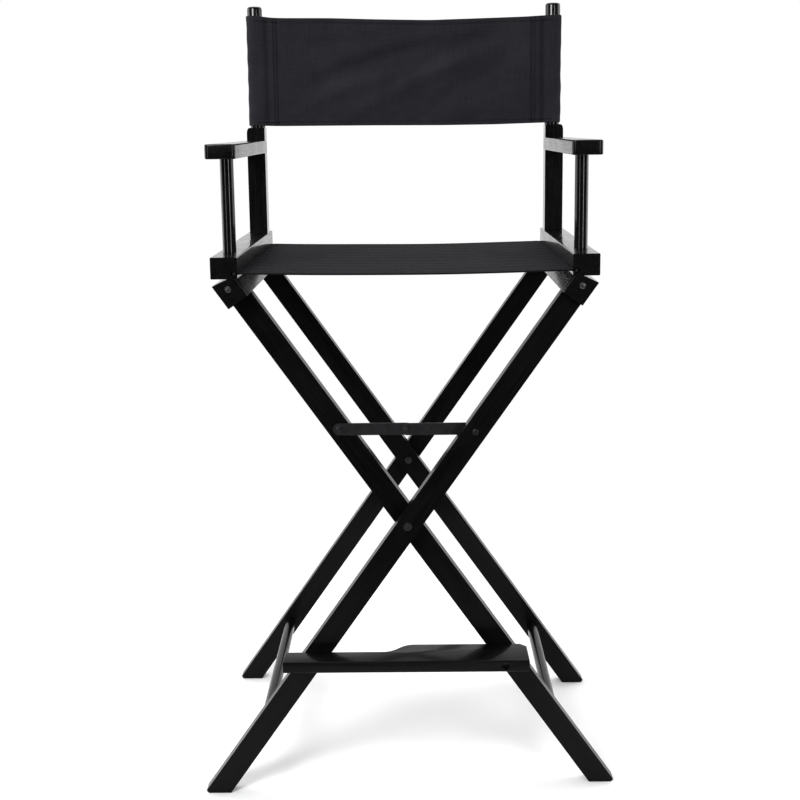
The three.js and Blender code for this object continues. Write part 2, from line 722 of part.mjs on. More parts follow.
// A square post with a rounded outer shoulder and a round upper end for the canvas sleeve.
function backPost() {
  const outer = BACK_POST_INNER + BACK_POST_WIDTH;
  const roundOuter = BACK_POST_INNER + 2 * BACK_POST_TOP_RADIUS;
  const face = new THREE.Shape();
  face.moveTo(BACK_POST_INNER, RAIL_TOP + GAP);
  face.lineTo(outer, RAIL_TOP + GAP);
  face.lineTo(outer, SHOULDER_HEIGHT - SHOULDER_RISE);
  face.quadraticCurveTo(outer, SHOULDER_HEIGHT, roundOuter, SHOULDER_HEIGHT);
  face.lineTo(BACK_POST_INNER, SHOULDER_HEIGHT);
  const y1 = BACK_POST_SETBACK + BACK_POST_DEPTH;
  const profile = [
    [0, SHOULDER_HEIGHT - SHOULDER_RISE],
    [BACK_POST_TOP_RADIUS, SHOULDER_HEIGHT - SHOULDER_RISE],
  ];
  for (let i = 0; i <= POST_TIP_STEPS; i += 1) {
    const angle = (Math.PI / 2) * (i / POST_TIP_STEPS);
    profile.push([
      BACK_POST_TOP_RADIUS - POST_TIP * (1 - Math.cos(angle)),
      OVERALL_HEIGHT - POST_TIP * (1 - Math.sin(angle)),
    ]);
  }
  profile.push([0, OVERALL_HEIGHT]);
  const top = turnedAlongZ(profile, BACK_POST_X, BACK_POST_Y);
  const screwHole = roundAlongX(
    ARM_SCREW_RADIUS + GAP,
    BACK_POST_Y,
    ARM_MID,
    ARM_OUTER - ARM_SCREW_LENGTH - GAP,
    outer + CUT,
  );
  return cut(
    join(
      extrudeAlongY(face, BACK_POST_SETBACK, y1),
      top,
      backPostTenon(0, RAIL_TOP + CUT),
    ),
    screwHole,
  );
}

// The armrest's screw from its tip, or with `grow` the hole that takes it. `outside` is how
// far the head's rim runs on.
function armScrew(grow, tip, outside) {
  const head = ARM_OUTER - HEAD_RECESS;
  return turnedAlongX(
    [
      [0, tip],
      [ARM_SCREW_RADIUS + grow, tip],
      [ARM_SCREW_RADIUS + grow, head - ARM_SCREW_SINK - grow],
      [ARM_SCREW_HEAD + grow, head],
      [ARM_SCREW_HEAD + grow, head + outside],
      [0, head + outside],
    ],
    BACK_POST_Y,
    ARM_MID,
  );
}

// An armrest on the front post. Its rear end runs on along the back post's outer side.
function armrest() {
  const rear = BACK_POST_SETBACK + ARM_REAR_LAP;
  const shape = roundedRectangle(ARM_INNER, ARM_OUTER, ARM_FRONT, rear, ARM_CORNER);
  return cut(
    extrudeAlongZ(shape, ARM_BOTTOM, ARM_TOP, ARM_EDGE, ARM_CORNER_STEPS),
    block(
      ARM_INNER - CUT,
      BACK_POST_INNER + BACK_POST_WIDTH + GAP,
      BACK_POST_SETBACK - GAP,
      rear + CUT,
      ARM_BOTTOM - CUT,
      ARM_TOP + CUT,
    ),
    roundAlongZ(
      FRONT_POST_RADIUS + GAP,
      FRONT_POST_X,
      FRONT_POST_SETBACK,
      ARM_BOTTOM - CUT,
      ARM_BOTTOM + POST_SOCKET + GAP,
    ),
    armScrew(GAP, BACK_POST_INNER + BACK_POST_WIDTH, 2 * CUT),
  );
}

function seatSide(side, name) {
  const group = new THREE.Group();
  group.scale.x = side;
  const rod = roundAlongY(
    ROD_RADIUS,
    GROOVE_X,
    GROOVE_Z,
    SEAT_CANVAS_INSET,
    DEPTH - SEAT_CANVAS_INSET,
    ROD_SIDES,
  );
  group.add(
    piece(`${name}_seat_rail`, seatRail(), lacquer),
    piece(`${name}_front_post`, frontPost(), lacquer),
    piece(`${name}_back_post`, backPost(), lacquer),
    piece(`${name}_armrest`, armrest(), lacquer),
    piece(`${name}_seat_rod`, rod, steel),
    piece(`${name}_front_hinge_eye`, hingeEye(0), brightSteel),
    piece(`${name}_rear_hinge_eye`, hingeEye(1), brightSteel),
    piece(`${name}_arm_screw`, armScrew(0, ARM_OUTER - ARM_SCREW_LENGTH, ARM_SCREW_RIM), steel),
  );
  return group;
}

// ---- Canvas ----------------------------------------------------------------------------
// The seat: a sheet between the grooves, with a hem tube round each seat rod.
function seatCanvas() {
  const y0 = SEAT_CANVAS_INSET;
  const y1 = DEPTH - SEAT_CANVAS_INSET;
  const half = CANVAS / 2;
  const hem = GROOVE_RADIUS - GAP;
  let body = block(-GROOVE_X, GROOVE_X, y0, y1, GROOVE_Z - half, GROOVE_Z + half);
  for (const x of [-GROOVE_X, GROOVE_X]) {
    body = join(body, roundAlongY(hem, x, GROOVE_Z, y0, y1, ROD_SIDES));
  }
  for (const x of [-GROOVE_X, GROOVE_X]) {
    body = cut(body, roundAlongY(ROD_RADIUS + GAP, x, GROOVE_Z, y0 - CUT, y1 + CUT, ROD_SIDES));
  }
  return body;
}

// The back: a sheet in front of the back posts, with a sleeve round each post's top.
function backCanvas() {
  const z0 = BACK_CANVAS_BOTTOM;
  const z1 = z0 + BACK_CANVAS_HEIGHT;
  const inside = BACK_POST_TOP_RADIUS + SLEEVE_EASE;
  const outside = inside + CANVAS;
  const front = BACK_POST_Y - outside;
  let body = block(-BACK_POST_X, BACK_POST_X, front, front + CANVAS, z0, z1);
  for (const x of [-BACK_POST_X, BACK_POST_X]) {
    body = join(body, roundAlongZ(outside, x, BACK_POST_Y, z0, z1));
  }
  for (const x of [-BACK_POST_X, BACK_POST_X]) {
    body = cut(body, roundAlongZ(inside, x, BACK_POST_Y, z0 - CUT, z1 + CUT));
  }
  return body;
}

// ---- The chair -------------------------------------------------------------------------
const chair = new THREE.Group();
chair.add(
  outerFrame(),
  innerFrame(),
  stay(),
  piece("footrest_plank", footrestPlank(), lacquer),
  seatSide(1, "right"),
  seatSide(-1, "left"),
  piece("seat_canvas", seatCanvas(), canvasCloth),
  piece("back_canvas", backCanvas(), canvasCloth),
);

// The origin is on the floor, under the middle of the chair's box.
const middle = new THREE.Box3().setFromObject(chair, true).getCenter(new THREE.Vector3());
chair.position.y = -middle.y;

export default chair;
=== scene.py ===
"""Director chair: black lacquered wood, canvas seat and back. Metres, front of the chair towards -Y."""

import math

import bpy
import numpy as np
from mathutils import Matrix, Vector


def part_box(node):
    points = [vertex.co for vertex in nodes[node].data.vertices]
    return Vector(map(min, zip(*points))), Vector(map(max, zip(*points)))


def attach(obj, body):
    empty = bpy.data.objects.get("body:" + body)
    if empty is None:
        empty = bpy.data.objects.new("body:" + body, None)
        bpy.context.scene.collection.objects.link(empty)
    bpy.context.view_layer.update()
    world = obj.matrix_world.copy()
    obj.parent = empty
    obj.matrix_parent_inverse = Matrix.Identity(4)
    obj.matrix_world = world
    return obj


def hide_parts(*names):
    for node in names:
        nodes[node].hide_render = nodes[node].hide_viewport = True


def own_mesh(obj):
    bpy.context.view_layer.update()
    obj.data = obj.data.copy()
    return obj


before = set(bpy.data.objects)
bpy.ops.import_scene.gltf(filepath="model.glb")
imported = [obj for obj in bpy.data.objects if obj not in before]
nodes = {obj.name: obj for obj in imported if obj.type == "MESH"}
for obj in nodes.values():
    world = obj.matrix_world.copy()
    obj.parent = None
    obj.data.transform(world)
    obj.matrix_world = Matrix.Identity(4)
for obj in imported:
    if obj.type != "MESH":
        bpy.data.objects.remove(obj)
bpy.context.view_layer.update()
MM = 0.001

# ---- Camera ------------------------------------------------------------------------------
CAMERA_AT = Vector((0.0109, -1.8763, 0.9752))
CAMERA_YAW = math.radians(-0.642)
CAMERA_PITCH = math.radians(9.711)
CAMERA_ROLL = math.radians(0.704)
CAMERA_LENS = 55.20
CAMERA_SENSOR = 36
CAMERA_SHIFT = -0.0801
PICTURE_GAMMA = 0.85

# ---- Seat canvas -------------------------------------------------------------------------
SEAT_LOW, SEAT_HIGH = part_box("seat_canvas")
RAIL_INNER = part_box("right_seat_rail")[0].x
ROD_LOW, ROD_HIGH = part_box("right_seat_rod")
ROD_X = (ROD_LOW.x + ROD_HIGH.x) / 2
SEAT_Z = (ROD_LOW.z + ROD_HIGH.z) / 2
SEAT_FRONT = SEAT_LOW.y
SEAT_BACK = SEAT_HIGH.y
SEAT_CLOTH = 1.3 * MM
SEAT_SAG = 4.5 * MM
SEAT_SAG_SHARES = (0.72, 0.28)  # of the sag, at the front and back edges, and added in the middle
SEAT_WAVE = 0.55 * MM  # soft unevenness of the whole seat
SEAT_CROWN = 0.35 * MM  # how far the cloth stands up between two sewn rows
SEAT_HEM = 13 * MM  # turned edge at the front and at the back
SEAT_HEM_EXTRA = 0.35 * MM  # the turned edge is this much thicker on each face
SEAT_HEM_DROP = 0.3 * MM
SEAT_ROWS = 11  # sewn rows
SEAT_GROOVE = 0.50 * MM
SEAT_GROOVE_WIDTH = 1.5 * MM
SEAT_SHADE = 0.5  # painted shade along a sewn row: how dark, and how wide
SEAT_SHADE_WIDTH = 1.3 * MM
SEAT_PUCKER = 0.16 * MM
SEAT_PUCKER_PITCH = 10.2 * MM
SEAT_PUCKER_WIDTH = 6.5 * MM
SEAT_COLUMNS = 231
SEAT_LINES = np.linspace(SEAT_FRONT + SEAT_HEM, SEAT_BACK - SEAT_HEM, SEAT_ROWS)
SEAT_SPACING = SEAT_LINES[1] - SEAT_LINES[0]

# The seat's folded side, in the rail's groove.
ROD_WRAP = 2.95 * MM  # radius of the cloth's middle round the rod
ROD_NECK = 0.66 * MM  # half the distance between the two layers in the slot
ROD_CLOTH_HALF = 0.38 * MM
ROD_CLOTH_WAVE = 0.06 * MM

# ---- Back canvas -------------------------------------------------------------------------
POST_LOW, POST_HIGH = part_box("right_back_post")
POST_RADIUS = 12 * MM
POST_X = POST_LOW.x + POST_RADIUS
POST_Y = (POST_LOW.y + POST_HIGH.y) / 2
WRAP = 13.3 * MM  # radius of the sleeve's middle round the post
BACK_Y = POST_Y - WRAP
BACK_CLOTH = 0.9 * MM
BACK_COLUMNS = 171
BACK_HEM_TOP = 7.0 * MM
BACK_HEM_BOTTOM = 6.0 * MM
BACK_HEM_SLOPE = 1.2 * MM
BACK_HEM_EXTRA = 0.2 * MM  # the hem is this much thicker on each face
BACK_HEM_BEHIND = 0.5 * MM  # the hem's turned layer, on the rear face
BACK_GROOVE = 0.42 * MM
SEAM = 205.0 * MM  # where the panel meets a sleeve
SEAM_LINES = (206.7 * MM, 211.3 * MM)
SEAM_TAIL = 201.6 * MM  # inner end of the seam's allowance, behind the panel
TAIL_GAP = 1.35 * MM
TAIL_HEM_GAP = 1.2 * MM
SLEEVE_SLACK = 0.5 * MM
FOLD_X = 223.5 * MM  # the soft fold of a sleeve's front
FOLD_DEPTH = 2.1 * MM
FOLD_WIDTH = 6.0 * MM
SLANT_DEPTH = 0.9 * MM  # a short slanting crease at the foot of each seam
SLANT_WIDTH = 4.0 * MM
SLANT_FOOT = (0.208, 0.978)  # x and z where it starts
SLANT_RUN = 0.30  # x over z
SLANT_MIDDLE = 1.005
SLANT_LENGTH = 0.022
BACK_WAVE = 0.70 * MM
BACK_FINE_WAVE = 0.22 * MM
EDGE_BLUR = (-12, -8, -4, 0, 4, 8, 12)  # mm to each side, over which an edge is softened
FLAT_FROM = SEAM - 70 * MM  # the wrinkles fade out from here to FLAT_TO
FLAT_TO = SEAM - 26 * MM

# Height of the back canvas's two edges at places across it.
TOP_EDGE = (
    (-0.2600, 1.1535), (-0.2315, 1.1530), (-0.2234, 1.1505), (-0.2054, 1.1490), (-0.1188, 1.1478),
    (-0.0436, 1.1450), (0.0413, 1.1428), (0.1263, 1.1446), (0.2015, 1.1464), (0.2194, 1.1476),
    (0.2600, 1.1492),
)
BOTTOM_EDGE = (
    (-0.2600, 0.9785), (-0.2315, 0.9782), (-0.2054, 0.9774), (-0.0630, 0.9768), (0.0610, 0.9757),
    (0.1440, 0.9760), (0.2194, 0.9778), (0.2600, 0.9785),
)

# Each long soft wrinkle: middle x and z, rise in degrees, half length, half width, depth in mm.
WRINKLES = (
    (-0.075, 1.072, 19, 0.150, 0.015, 4.3),
    (-0.030, 1.102, 15, 0.130, 0.012, -2.6),
    (-0.110, 1.030, 21, 0.110, 0.013, -3.3),
    (0.025, 1.052, 24, 0.140, 0.014, -3.8),
    (0.085, 1.098, 22, 0.120, 0.013, 3.4),
    (0.120, 1.050, 26, 0.100, 0.012, 2.6),
    (0.150, 1.020, 17, 0.080, 0.011, -2.1),
    (-0.160, 1.105, 12, 0.070, 0.011, 2.0),
)
WRINKLE_BOW = 0.012


# ---- Materials ---------------------------------------------------------------------------
class Look:
    """A material and short names for the nodes that it is made of."""

    def __init__(self, name, **uniform):
        self.material = bpy.data.materials.new(name)
        self.material.use_nodes = True
        self.tree = self.material.node_tree
        self.tree.nodes.clear()
        self.shader = self.add("ShaderNodeBsdfPrincipled")
        output = self.add("ShaderNodeOutputMaterial")
        self.join(self.shader.outputs[0], output.inputs["Surface"])
        for key, value in uniform.items():
            self.shader.inputs[key.replace("_", " ")].default_value = value

    def add(self, kind, **settings):
        made = self.tree.nodes.new(kind)
        for key, value in settings.items():
            setattr(made, key, value)
        return made

    def join(self, source, target):
        """Link a socket to a socket, or set a plain value on it."""
        if isinstance(source, bpy.types.NodeSocket):
            self.tree.links.new(source, target)
        else:
            target.default_value = source

    def place(self, rotation=(0, 0, 0), stretch=(1, 1, 1)):
        """The object's own coordinates, turned, and drawn out along the stretched axis."""
        mapping = self.add("ShaderNodeMapping", vector_type="TEXTURE")
        self.join(self.add("ShaderNodeTexCoord").outputs["Object"], mapping.inputs["Vector"])
        mapping.inputs["Rotation"].default_value = rotation
        mapping.inputs["Scale"].default_value = stretch
        return mapping.outputs[0]

    def noise(self, where, scale, detail=3, roughness=0.55, distortion=0.0):
        made = self.add("ShaderNodeTexNoise")
        self.join(where, made.inputs["Vector"])
        made.inputs["Scale"].default_value = scale
        made.inputs["Detail"].default_value = detail
        made.inputs["Roughness"].default_value = roughness
        made.inputs["Distortion"].default_value = distortion
        return made.outputs["Fac"]

    def ramp(self, value, low, high, start=0.0, end=1.0):
        """A smooth rise from start, where the value is low, to end, where it is high."""
        made = self.add("ShaderNodeMapRange", interpolation_type="SMOOTHSTEP")
        for key, given in (("Value", value), ("From Min", low), ("From Max", high)):
            self.join(given, made.inputs[key])
        made.inputs["To Min"].default_value = start
        made.inputs["To Max"].default_value = end
        return made.outputs[0]

    def calc(self, operation, *values):
        made = self.add("ShaderNodeMath", operation=operation)
        for value, socket in zip(values, made.inputs):
            self.join(value, socket)
        return made.outputs[0]

    def times(self, a, b):
        return self.calc("MULTIPLY", a, b)

    def plus(self, a, b):
        return self.calc("ADD", a, b)

    def mix(self, share, a, b):
        made = self.add("ShaderNodeMix", data_type="RGBA")
        self.join(share, made.inputs["Factor"])
        colours = [socket for socket in made.inputs if socket.type == "RGBA"]
        for socket, value in zip(colours, (a, b)):
            if isinstance(value, tuple):
                socket.default_value = (*value, 1.0)
            else:
                self.join(value, socket)
        return [socket for socket in made.outputs if socket.type == "RGBA"][0]

    def colour(self, value):
        self.join(value, self.shader.inputs["Base Color"])

    def roughness(self, value):
        self.join(value, self.shader.inputs["Roughness"])

    def bump(self, *layers):
        """Layers of height and its distance in metres, one over the other."""
        normal = None
        for height, distance in layers:
            made = self.add("ShaderNodeBump")
            made.inputs["Strength"].default_value = 1.0
            made.inputs["Distance"].default_value = distance
            self.join(height, made.inputs["Height"])
            if normal:
                self.join(normal, made.inputs["Normal"])
            normal = made.outputs[0]
        self.join(normal, self.shader.inputs["Normal"])

    def edge(self, radius):
        """1 on the convex edges of a piece and 0 on its faces."""
        bevel = self.add("ShaderNodeBevel", samples=3)
        bevel.inputs["Radius"].default_value = radius
        flat = self.add("ShaderNodeNewGeometry").outputs["True Normal"]
        dot = self.add("ShaderNodeVectorMath", operation="DOT_PRODUCT")
        self.join(bevel.outputs[0], dot.inputs[0])
        self.join(flat, dot.inputs[1])
        return self.ramp(dot.outputs["Value"], 0.995, 0.90)


GRAIN_STRETCH = (1, 1, 26)
FIGURE_STRETCH = (1, 1, 7)
LACQUER_DEEP = (0.0018, 0.0017, 0.0018)
LACQUER_FIBRE = (0.0044, 0.0040, 0.0040)
LACQUER_FIGURE = (0.0064, 0.0057, 0.0054)
LACQUER_PORE = (0.0010, 0.0010, 0.0010)
LACQUER_WORN = (0.040, 0.034, 0.030)
LACQUER_EDGE = 0.9 * MM
STEEL_EDGE = 0.4 * MM


def lacquer(name, rotation, gloss):
    """Black lacquer over straight-grained wood whose grain runs along the turned Z axis."""
    look = Look(
        name,
        Coat_Weight=0.60 + 0.25 * gloss,
        Coat_Roughness=0.10 - 0.03 * gloss,
        Coat_IOR=1.28 + 0.12 * gloss,
        IOR=1.45,
        Specular_IOR_Level=0.12,
    )
    along = look.place(rotation, GRAIN_STRETCH)
    figured = look.place(rotation, FIGURE_STRETCH)
    free = look.place()
    fibre = look.noise(along, scale=330, detail=5, roughness=0.6, distortion=0.25)
    pores = look.ramp(look.noise(along, scale=1150, detail=2, roughness=0.5), 0.56, 0.70)
    figure = look.noise(figured, scale=46, detail=3, roughness=0.5, distortion=0.8)
    handled = look.noise(free, scale=9.5, detail=4, roughness=0.6)
    peel = look.noise(free, scale=240, detail=2, roughness=0.5)
    rubbed = look.ramp(look.noise(free, scale=75, detail=4, roughness=0.65), 0.50, 0.66)
    worn = look.times(look.edge(LACQUER_EDGE), rubbed)

    tone = look.mix(look.ramp(fibre, 0.36, 0.66), LACQUER_DEEP, LACQUER_FIBRE)
    tone = look.mix(look.ramp(figure, 0.42, 0.70, end=0.55), tone, LACQUER_FIGURE)
    tone = look.mix(look.times(pores, 0.6), tone, LACQUER_PORE)
    look.colour(look.mix(look.times(worn, 0.55), tone, LACQUER_WORN))

    smooth = 0.25 - 0.08 * gloss
    dull = 0.38 - 0.12 * gloss
    rough = look.ramp(handled, 0.30, 0.72, smooth, dull)
    rough = look.plus(rough, look.ramp(fibre, 0.3, 0.7, end=0.10))
    look.roughness(look.plus(rough, look.times(worn, 0.16)))
    grain = look.calc("SUBTRACT", fibre, look.times(pores, 0.55))
    look.bump((grain, 0.10 * MM), (peel, 0.035 * MM))
    return look.material


THREAD_PITCH = 0.95 * MM
SLUB_STRETCH = 0.035
CANVAS_DEEP = (0.0180, 0.0175, 0.0215)
CANVAS_LIGHT = (0.0255, 0.0248, 0.0300)
CANVAS_GAP = (0.0100, 0.0098, 0.0118)
CANVAS_FADED = (0.0350, 0.0342, 0.0400)
CANVAS_LINT = (0.075, 0.075, 0.080)
# Painted shade: the dark tone laid into the canvas's sewn grooves and folds
CANVAS_PAINTED_SHADE = (0.0035, 0.0035, 0.0042)


def canvas(name, painted_light_scale, sheen, lustre):
    """Plain-woven charcoal canvas, laid out by each cloth piece's own flat measure, its tones scaled by
    painted light.
    """
    look = Look(
        name,
        Sheen_Weight=sheen,
        Sheen_Roughness=0.5,
        Sheen_Tint=(0.75, 0.77, 0.85, 1.0),
        IOR=1.40,
        Specular_IOR_Level=lustre,
    )
    flat = look.add("ShaderNodeAttribute", attribute_name="cloth").outputs["Vector"]
    painted_shade = look.add("ShaderNodeAttribute", attribute_name="painted_shade").outputs["Fac"]
    parts = look.add("ShaderNodeSeparateXYZ")
    look.join(flat, parts.inputs[0])

    # Painted light: every tone is scaled by this copy's brightness factor, so the copy is painted
    # lighter or darker
    def painted_light_tone(tone):
        return tuple(channel * painted_light_scale for channel in tone)

    def ridges(measure):
        return look.calc("SINE", look.times(measure, math.pi / THREAD_PITCH))

    def slubs(across, along):
        mapping = look.add("ShaderNodeMapping")
        look.join(flat, mapping.inputs["Vector"])
        mapping.inputs["Scale"].default_value = (across, along, 1)
        return look.times(look.noise(mapping.outputs[0], scale=720, detail=3, roughness=0.6), 0.5)

    warp = ridges(parts.outputs[0])
    weft = ridges(parts.outputs[1])
    over = look.calc("MULTIPLY_ADD", look.times(warp, weft), 0.5, 0.5)
    thread = look.times(look.calc("ABSOLUTE", warp), look.calc("ABSOLUTE", weft))
    weave = look.plus(look.times(over, 0.6), look.times(thread, 0.4))
    slub = look.plus(slubs(1, SLUB_STRETCH), slubs(SLUB_STRETCH, 1))
    fuzz = look.noise(flat, scale=1900, detail=2, roughness=0.7)
    faded = look.noise(flat, scale=13, detail=4, roughness=0.6)
    lint = look.ramp(look.noise(flat, scale=430, detail=2, roughness=0.5), 0.70, 0.78)
    gaps = look.ramp(weave, 0.15, 0.65, 1.0, 0.0)

    tone = look.mix(look.ramp(slub, 0.38, 0.62), painted_light_tone(CANVAS_DEEP), painted_light_tone(CANVAS_LIGHT))
    tone = look.mix(look.times(gaps, 0.55), tone, painted_light_tone(CANVAS_GAP))
    tone = look.mix(look.ramp(faded, 0.40, 0.75, end=0.30), tone, painted_light_tone(CANVAS_FADED))
    tone = look.mix(look.times(lint, 0.25), tone, painted_light_tone(CANVAS_LINT))
    # Painted shade: the colour darkens towards the painted-shade tone where the cloth is sewn in or
    # folded
    look.colour(look.mix(look.times(painted_shade, 0.80), tone, painted_light_tone(CANVAS_PAINTED_SHADE)))
    look.roughness(look.ramp(look.plus(slub, fuzz), 0.7, 1.3, 0.74, 0.92))
    look.bump((weave, 0.20 * MM), (slub, 0.16 * MM), (fuzz, 0.05 * MM))
    return look.material


THREAD_DEEP = (0.018, 0.018, 0.021)
THREAD_LIGHT = (0.034, 0.034, 0.039)
THREAD_TWIST = (0.010, 0.010, 0.012)


def sewing_thread(name):
    look = Look(name, Sheen_Weight=0.2, Sheen_Roughness=0.4, IOR=1.45)
    free = look.place()
    twist = look.noise(free, scale=2600, detail=2, roughness=0.5)
    tone = look.mix(look.noise(free, scale=60, detail=2), THREAD_DEEP, THREAD_LIGHT)
    look.colour(look.mix(look.ramp(twist, 0.4, 0.6, end=0.5), tone, THREAD_TWIST))
    look.roughness(look.ramp(twist, 0.3, 0.7, 0.50, 0.68))
    look.bump((twist, 0.08 * MM))
    return look.material


BRUSH_STRETCH = (1, 14, 1)


def metal(name, tone, bright, rough, scratched):
    """Steel with a cloudy finish, fine pits and edges worn bright."""
    look = Look(name, Metallic=1.0)
    free = look.place()
    brushed = look.noise(look.place(stretch=BRUSH_STRETCH), scale=900, detail=3, roughness=0.6)
    cloudy = look.noise(free, scale=120, detail=4, roughness=0.6)
    pits = look.ramp(look.noise(free, scale=850, detail=2, roughness=0.5), 0.62, 0.75)
    rubbed = look.ramp(look.noise(free, scale=260, detail=3), 0.38, 0.62)
    worn = look.times(look.edge(STEEL_EDGE), rubbed)

    def darker(share):
        return tuple(share * channel for channel in tone)

    mixed = look.mix(look.ramp(cloudy, 0.35, 0.68), tone, darker(0.72))
    mixed = look.mix(look.times(worn, 0.6), mixed, bright)
    look.colour(look.mix(look.times(pits, 0.35), mixed, darker(0.4)))
    clouded = look.ramp(cloudy, 0.3, 0.7, rough, rough + 0.14)
    look.roughness(look.plus(clouded, look.times(brushed, 0.10)))
    look.bump((brushed, scratched), (look.calc("SUBTRACT", cloudy, pits), 0.02 * MM))
    return look.material


LEAN = math.radians(35)  # of a leg, from the vertical
QUARTER = math.pi / 2
LACQUERS = {
    "x": lacquer("lacquer_grain_x", (0, QUARTER, 0), -0.4),
    "y": lacquer("lacquer_grain_y", (QUARTER, 0, 0), 0.4),
    "z": lacquer("lacquer_grain_z", (0, 0, 0), 1.0),
    "outer": lacquer("lacquer_outer_leg", (0, LEAN, 0), -0.5),
    "inner": lacquer("lacquer_inner_leg", (0, -LEAN, 0), -0.5),
}
# One cloth in two copies with painted light: the back's tones are painted lighter, the seat's darker
BACK_CANVAS = canvas("charcoal_canvas_back", painted_light_scale=1.42, sheen=0.06, lustre=0.10)
SEAT_CANVAS = canvas("charcoal_canvas_seat", painted_light_scale=0.46, sheen=0.04, lustre=0.07)
THREAD = sewing_thread("charcoal_thread")
DARK_STEEL = metal("blackened_steel", (0.085, 0.085, 0.090), (0.42, 0.42, 0.43), 0.30, 0.03 * MM)
BRIGHT_STEEL = metal("zinc_steel", (0.17, 0.167, 0.165), (0.50, 0.49, 0.48), 0.24, 0.02 * MM)

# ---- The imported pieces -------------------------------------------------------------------
SAME_POINT = 0.01 * MM
SHARP_ANGLE = math.radians(32)


def grain_of(name):
    """Which way the grain of a wooden piece runs."""
    if "leg" in name:
        return name.split("_")[0]
    if "post" in name:
        return "z"
    if "footrest_plank" in name:
        return "x"
    return "y"


def dress(name, node):
    """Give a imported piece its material, and smooth its round faces but not its edges."""
    slot = node.material_slots[0].material.name if node.material_slots else ""
    if "lacquer" in slot:
        chosen = LACQUERS[grain_of(name)]
    elif "bright" in slot:
        chosen = BRIGHT_STEEL
    else:
        chosen = DARK_STEEL
    node.data.materials.clear()
    node.data.materials.append(chosen)
    for extra in ("custom_normal", "sharp_edge", "sharp_face"):
        if extra in node.data.attributes:
            node.data.attributes.remove(node.data.attributes[extra])
    weld = node.modifiers.new("weld", "WELD")
    weld.merge_threshold = SAME_POINT
    split = node.modifiers.new("sharp edges", "EDGE_SPLIT")
    split.split_angle = SHARP_ANGLE


for node_name, cad_node in nodes.items():
    if "canvas" not in node_name:
        dress(node_name, cad_node)


# ---- Cloth -------------------------------------------------------------------------------
def signed_volume(points, quads):
    a, b, c, d = (points[quads[:, i]] for i in range(4))
    return float((np.cross(a, b) * c).sum() + (np.cross(a, c) * d).sum()) / 6


def mesh_piece(name, points, faces, material):
    """A closed mesh of quads with the given material, facing out."""
    if signed_volume(points, faces) < 0:
        faces = faces[:, ::-1]
    mesh = bpy.data.meshes.new(name)
    mesh.from_pydata(points.tolist(), [], faces.tolist())
    mesh.update()
    mesh.materials.append(material)
    mesh.shade_smooth()
    made = bpy.data.objects.new(name, mesh)
    bpy.context.scene.collection.objects.link(made)
    return made


def slab(name, outer, inner, flat, painted_shade, material):
    """A closed sheet between two grids of points, with each point's place on the flat cloth."""
    rows, columns = outer.shape[:2]
    count = rows * columns
    index = np.arange(count).reshape(rows, columns)

    def quads(numbers):
        corners = (numbers[:-1, :-1], numbers[1:, :-1], numbers[1:, 1:], numbers[:-1, 1:])
        return np.stack(corners, -1).reshape(-1, 4)

    rim = np.concatenate([index[:-1, 0], index[-1, :-1], index[:0:-1, -1], index[0, :0:-1]])
    following = np.roll(rim, -1)
    sides = np.stack([rim, rim + count, following + count, following], -1)
    faces = np.concatenate([quads(index), quads(index + count)[:, ::-1], sides])
    points = np.concatenate([outer.reshape(-1, 3), inner.reshape(-1, 3)])
    made = mesh_piece(name, points, faces, material)
    place = made.data.attributes.new("cloth", "FLOAT_VECTOR", "POINT")
    place.data.foreach_set("vector", np.tile(flat.reshape(-1, 3), (2, 1)).astype(np.float32).ravel())
    # Painted shade: how far each point's colour is darkened
    depth = made.data.attributes.new("painted_shade", "FLOAT", "POINT")
    depth.data.foreach_set("value", np.tile(np.clip(painted_shade, 0, 1).ravel(), 2).astype(np.float32))
    return made


def grid(first, second):
    return np.meshgrid(np.asarray(first, float), np.asarray(second, float), indexing="ij")


def lengths_along(line):
    steps = np.linalg.norm(np.diff(line, axis=0), axis=1)
    return np.concatenate([[0], np.cumsum(steps)])


def at_length(length, along, values):
    """The values of a line at a length along it."""
    return np.array([np.interp(length, along, column) for column in values.T])


def directions_along(line):
    way = np.gradient(line, axis=0)
    return way / np.linalg.norm(way, axis=1)[:, None]


NOSE_REACH = 1.4  # depth of a rounded edge, in half thicknesses
NOSE_BLUNT = 0.04


def nose(depth, half):
    """Half the thickness of a cloth's edge, rounded over its own radius."""
    reach = np.clip(depth / (NOSE_REACH * half), 0.0, 1.0)
    return half * np.sqrt(np.clip(1 - (1 - reach) ** 2, NOSE_BLUNT, 1))


def bell(value, centre, width):
    return np.exp(-(((value - centre) / width) ** 2))


def step(value, low, high):
    """A smooth rise from 0 to 1."""
    t = np.clip((value - low) / (high - low), 0, 1)
    return t * t * (3 - 2 * t)


RIPPLE_WAVES = 6
RIPPLE_SPREAD = (0.55, 1.7)
RIPPLE_LEVEL = 3.4  # the sum of the waves stays near this


def ripple(x, y, seed, wave):
    """Smooth seeded unevenness between about -1 and 1."""
    random = np.random.default_rng(seed)
    total = np.zeros(np.broadcast(x, y).shape)
    for _ in range(RIPPLE_WAVES):
        angle = random.uniform(0, math.tau)
        phase = random.uniform(0, math.tau)
        reach = wave * random.uniform(*RIPPLE_SPREAD)
        total += np.sin((x * math.cos(angle) + y * math.sin(angle)) * math.tau / reach + phase)
    return total / RIPPLE_LEVEL


# ---- Thread ------------------------------------------------------------------------------
STITCH_PITCH = 3.4 * MM
STITCH_LENGTH = 2.5 * MM
STITCH_RADIUS = 0.27 * MM
STITCH_INSET = 1 * MM  # from the ends of a sewn row
STITCH_SIDES = 6
STITCH_START = 0.4  # the first stitch's place, in pitches
STITCH_RISE = (0.15, 0.55)  # in radii: out of the cloth at the ends, and added in the middle
# Each ring of a stitch: its place along the stitch and its share of the radius.
STITCH_RINGS = ((0.0, 0.25), (0.12, 0.8), (0.35, 1.0), (0.65, 1.0), (0.88, 0.8), (1.0, 0.25))
STITCH_CAP = np.array([[0, 1, 2, 3], [0, 3, 4, 5]])


